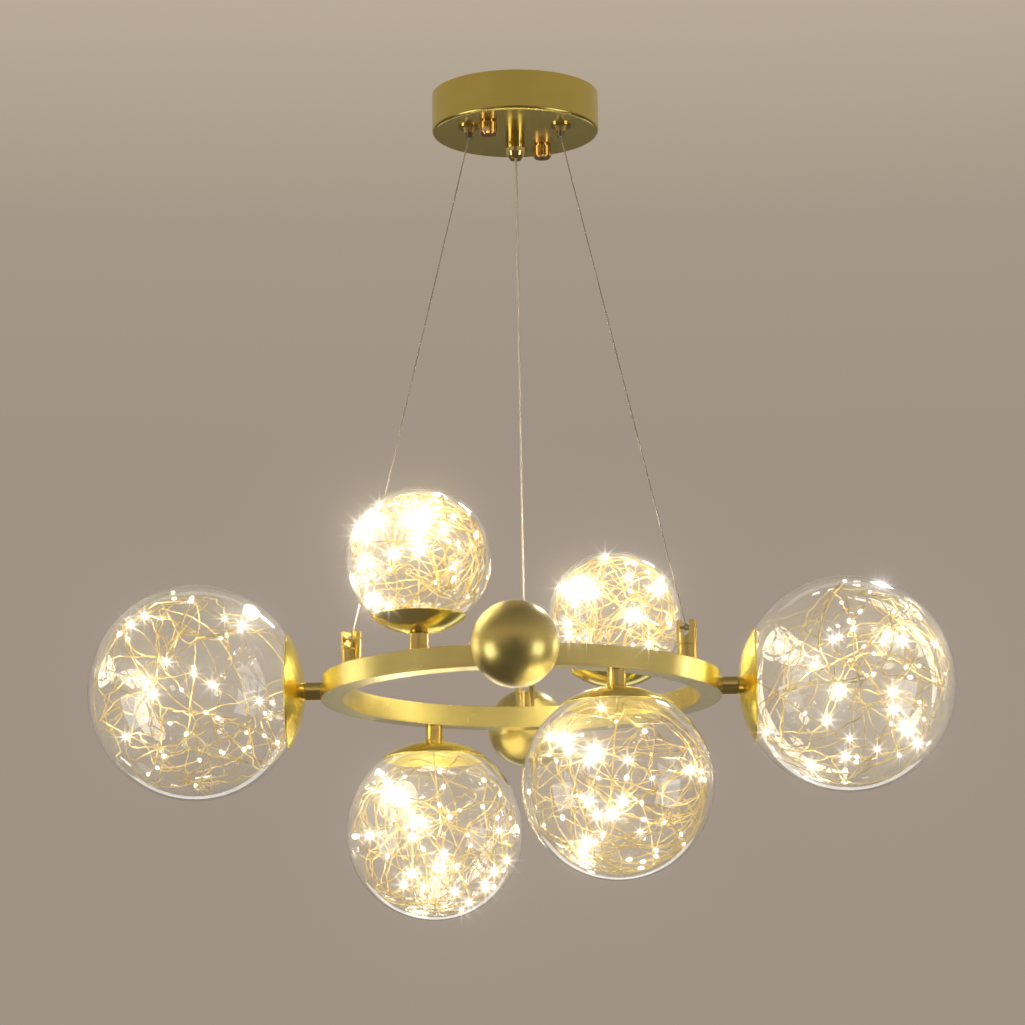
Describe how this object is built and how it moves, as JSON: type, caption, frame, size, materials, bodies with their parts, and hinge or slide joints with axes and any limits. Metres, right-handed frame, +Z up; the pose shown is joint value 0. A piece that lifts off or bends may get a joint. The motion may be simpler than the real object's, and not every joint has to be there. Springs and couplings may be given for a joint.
{
  "type": "orb chandelier",
  "caption": "Ceiling chandelier: a gold ring hung on steel wires from a round canopy, with clear glass globes holding copper light strings, and plain gold balls.",
  "frame": {"origin": "middle of the mounting bracket's upper face, where it lies on the ceiling", "axes": "+Z up, square to the ceiling; +X through the right side globe; +Y to the back, away from the viewer"},
  "size_m": [0.803, 0.5472, 0.77],
  "materials": {
    "gold": "satin plated",
    "copper_gold": "polished plated",
    "steel": "zinc plated",
    "wire_steel": "drawn",
    "clear_glass": "clear blown",
    "copper_wire": "enamelled copper",
    "white_plastic": "moulded",
    "black_plastic": "moulded",
    "clear_cord": "clear sheath over two leads",
    "harness_sleeve": "sleeved"
  },
  "bodies": {
    "canopy": {"mounting_bracket": "steel", "bracket_studs": "steel", "canopy_cup": "gold", "led_driver": "white_plastic", "terminal_block": "white_plastic", "cord_gland": "gold", "gland_lock_nuts": "steel", "wire_grippers": "gold", "suspension_wire_back": "wire_steel", "suspension_wire_left": "wire_steel", "suspension_wire_right": "wire_steel", "power_cord": "clear_cord"},
    "hand_nut_left": {"canopy_nut_left": "copper_gold"},
    "hand_nut_right": {"canopy_nut_right": "copper_gold"},
    "release_back": {"gripper_plunger_back": "steel"},
    "release_left": {"gripper_plunger_left": "steel"},
    "release_right": {"gripper_plunger_right": "steel"},
    "ring": {"ring_channel": "gold", "ring_cover": "gold", "ring_thread_inserts": "steel", "ring_harness": "harness_sleeve", "post_bases": "gold", "post_heads": "gold", "post_cross_pins": "steel", "wire_terminals": "steel", "post_screws": "steel", "power_cord_tail": "clear_cord", "ball_stems": "gold", "metal_ball_back": "gold", "metal_ball_front": "gold"},
    "globe_right": {"globe_stem_right": "gold", "globe_cap_right": "gold", "string_base_right": "black_plastic", "glass_globe_right": "clear_glass", "light_string_right": "copper_wire"},
    "globe_left": {"globe_stem_left": "gold", "globe_cap_left": "gold", "string_base_left": "black_plastic", "glass_globe_left": "clear_glass", "light_string_left": "copper_wire"},
    "globe_upper_back": {"globe_stem_upper_back": "gold", "globe_cap_upper_back": "gold", "string_base_upper_back": "black_plastic", "glass_globe_upper_back": "clear_glass", "light_string_upper_back": "copper_wire"},
    "globe_upper_front": {"globe_stem_upper_front": "gold", "globe_cap_upper_front": "gold", "string_base_upper_front": "black_plastic", "glass_globe_upper_front": "clear_glass", "light_string_upper_front": "copper_wire"},
    "globe_lower_back": {"globe_stem_lower_back": "gold", "globe_cap_lower_back": "gold", "string_base_lower_back": "black_plastic", "glass_globe_lower_back": "clear_glass", "light_string_lower_back": "copper_wire"},
    "globe_lower_front": {"globe_stem_lower_front": "gold", "globe_cap_lower_front": "gold", "string_base_lower_front": "black_plastic", "glass_globe_lower_front": "clear_glass", "light_string_lower_front": "copper_wire"}
  },
  "joints": [
    {"name": "height", "type": "slide", "parent": "canopy", "child": "ring", "axis": [0, 0, 1], "range_m": [0, 0.3], "deforming": ["suspension_wire_back", "suspension_wire_left", "suspension_wire_right", "power_cord"]},
    {"name": "hand_nut_left", "type": "hinge", "parent": "canopy", "child": "hand_nut_left", "pos_m": [-0.02469, -0.03905, -0.045], "axis": [0, 0, 1], "continuous": true},
    {"name": "hand_nut_right", "type": "hinge", "parent": "canopy", "child": "hand_nut_right", "pos_m": [0.02469, 0.03905, -0.045], "axis": [0, 0, 1], "continuous": true},
    {"name": "wire_release_back", "type": "slide", "parent": "canopy", "child": "release_back", "axis": [0, 0, 1], "range_m": [0, 0.002], "stiffness_N_per_m": 500, "springref_m": -0.002},
    {"name": "wire_release_left", "type": "slide", "parent": "canopy", "child": "release_left", "axis": [0, 0, 1], "range_m": [0, 0.002], "stiffness_N_per_m": 500, "springref_m": -0.002},
    {"name": "wire_release_right", "type": "slide", "parent": "canopy", "child": "release_right", "axis": [0, 0, 1], "range_m": [0, 0.002], "stiffness_N_per_m": 500, "springref_m": -0.002},
    {"name": "globe_turn_right", "type": "hinge", "parent": "ring", "child": "globe_right", "pos_m": [0.19, 0, -0.573], "axis": [1, 0, 0], "range_deg": [-180, 180]},
    {"name": "globe_turn_left", "type": "hinge", "parent": "ring", "child": "globe_left", "pos_m": [-0.19, 0, -0.573], "axis": [-1, 0, 0], "range_deg": [-180, 180]},
    {"name": "globe_turn_upper_back", "type": "hinge", "parent": "ring", "child": "globe_upper_back", "pos_m": [0.0875, 0.15155, -0.555], "axis": [0, 0, 1], "range_deg": [-180, 180]},
    {"name": "globe_turn_upper_front", "type": "hinge", "parent": "ring", "child": "globe_upper_front", "pos_m": [-0.0875, -0.15155, -0.555], "axis": [0, 0, 1], "range_deg": [-180, 180]},
    {"name": "globe_turn_lower_back", "type": "hinge", "parent": "ring", "child": "globe_lower_back", "pos_m": [-0.0875, 0.15155, -0.591], "axis": [0, 0, -1], "range_deg": [-180, 180]},
    {"name": "globe_turn_lower_front", "type": "hinge", "parent": "ring", "child": "globe_lower_front", "pos_m": [0.0875, -0.15155, -0.591], "axis": [0, 0, -1], "range_deg": [-180, 180]}
  ]
}
